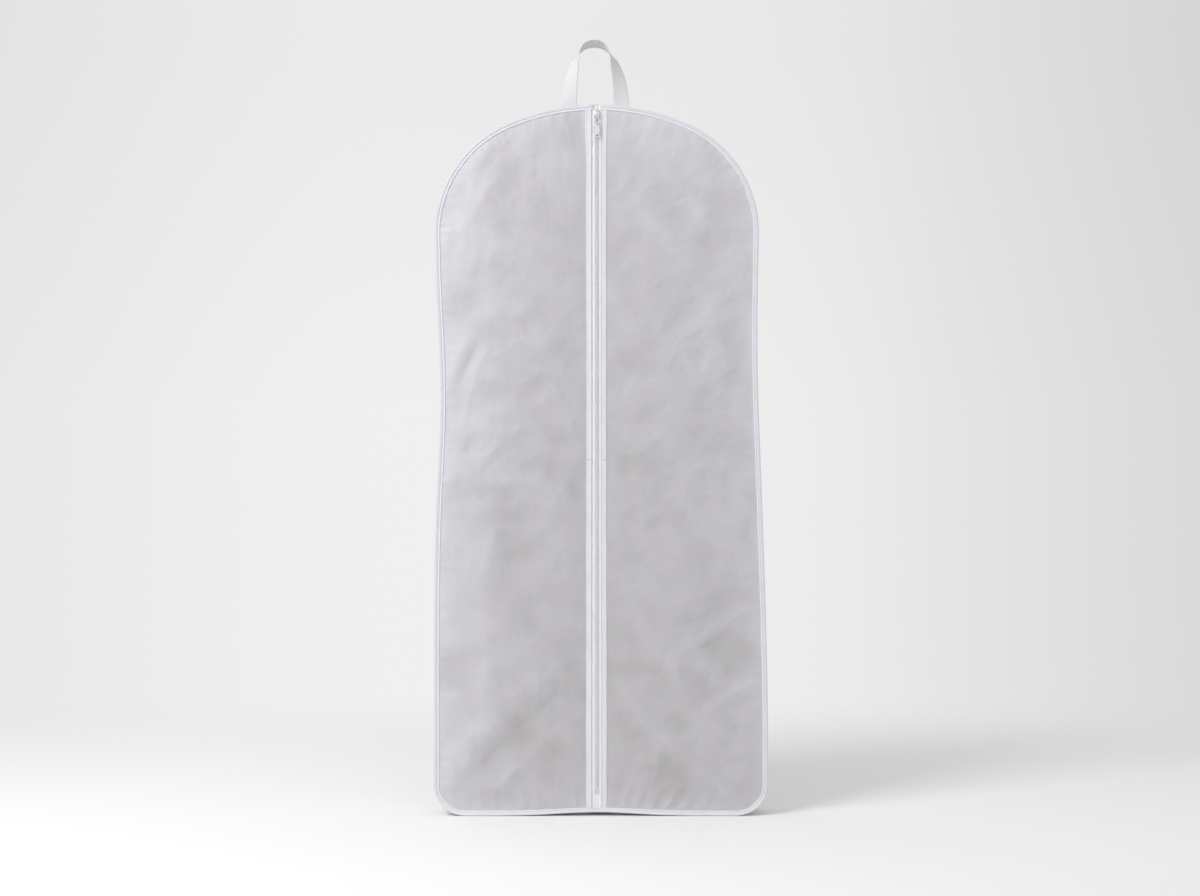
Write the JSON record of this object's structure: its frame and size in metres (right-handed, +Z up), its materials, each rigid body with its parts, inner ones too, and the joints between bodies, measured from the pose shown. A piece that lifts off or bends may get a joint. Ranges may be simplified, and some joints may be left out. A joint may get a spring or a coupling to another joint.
{
  "type": "garment bag",
  "caption": "Tall translucent garment bag with an arched top, side gussets, bound seams, a full-length front zip, a webbing carrying loop and a hanger eyelet.",
  "frame": {"origin": "middle of the flat base, on its underside", "axes": "+Z up along the bag's length, -Y out of the zipped front, +X to the right seen from the front"},
  "size_m": [0.61, 0.0818, 1.4558],
  "materials": {
    "film_back": "frosted",
    "film_left": "frosted",
    "film_right": "frosted",
    "gusset": "frosted",
    "binding": "grosgrain tape",
    "facing": "grosgrain tape",
    "zip_tape": "woven tape",
    "zip_coil": "nylon coil",
    "slider_metal": "painted",
    "webbing": "woven webbing",
    "thread": "stitching",
    "eyelet_metal": "nickel plated"
  },
  "bodies": {
    "bag": {"back_panel": "film_back", "gusset_base": "gusset", "gusset_left": "gusset", "gusset_right": "gusset", "gusset_arch": "gusset", "back_binding": "binding", "front_binding": "binding", "bottom_stop": "slider_metal", "top_patch": "webbing", "loop_end_left": "webbing", "loop_end_right": "webbing", "bar_tacks": "thread", "hanger_eyelet": "eyelet_metal", "eyelet_washer": "eyelet_metal"},
    "left_front": {"front_panel_left": "film_left", "zip_facing_left": "facing", "zip_tape_left": "zip_tape", "zip_coil_left": "zip_coil"},
    "right_front": {"front_panel_right": "film_right", "zip_facing_right": "facing", "zip_tape_right": "zip_tape", "zip_coil_right": "zip_coil"},
    "slider": {"slider_body": "slider_metal", "slider_crown": "slider_metal"},
    "link": {"pull_link": "slider_metal"},
    "tab": {"pull_tab": "slider_metal"},
    "loop": {"carrying_loop": "webbing"}
  },
  "joints": [
    {"name": "zip_slide", "type": "slide", "parent": "bag", "child": "slider", "axis": [0, 0, -1], "range_m": [0, 1.2548], "deforming": ["zip_tape_left", "zip_tape_right", "zip_coil_left", "zip_coil_right"]},
    {"name": "left_front_open", "type": "hinge", "parent": "bag", "child": "left_front", "pos_m": [-0.2945, -0.0398, 0.6], "axis": [0, 0, -1], "range_deg": [0, 40], "deforming": ["zip_tape_left", "zip_tape_right", "zip_coil_left", "zip_coil_right"]},
    {"name": "right_front_open", "type": "hinge", "parent": "bag", "child": "right_front", "pos_m": [0.2945, -0.0398, 0.6], "axis": [0, 0, 1], "range_deg": [0, 40], "deforming": ["zip_tape_left", "zip_tape_right", "zip_coil_left", "zip_coil_right"]},
    {"name": "link_swing", "type": "hinge", "parent": "slider", "child": "link", "pos_m": [0, -0.0415, 1.312], "axis": [-1, 0, 0], "range_deg": [0, 120]},
    {"name": "tab_swing", "type": "hinge", "parent": "link", "child": "tab", "pos_m": [0, -0.0415, 1.295], "axis": [-1, 0, 0], "range_deg": [0, 60]},
    {"name": "loop_fold", "type": "hinge", "parent": "bag", "child": "loop", "pos_m": [0, -0.017, 1.333], "axis": [1, 0, 0], "range_deg": [-80, 80], "stiffness_Nm_per_rad": 0.03}
  ],
  "couplings": [
    {"joint": "left_front_open", "follows": "zip_slide", "rad_per_m": 0.5563},
    {"joint": "right_front_open", "follows": "zip_slide", "rad_per_m": 0.5563}
  ]
}
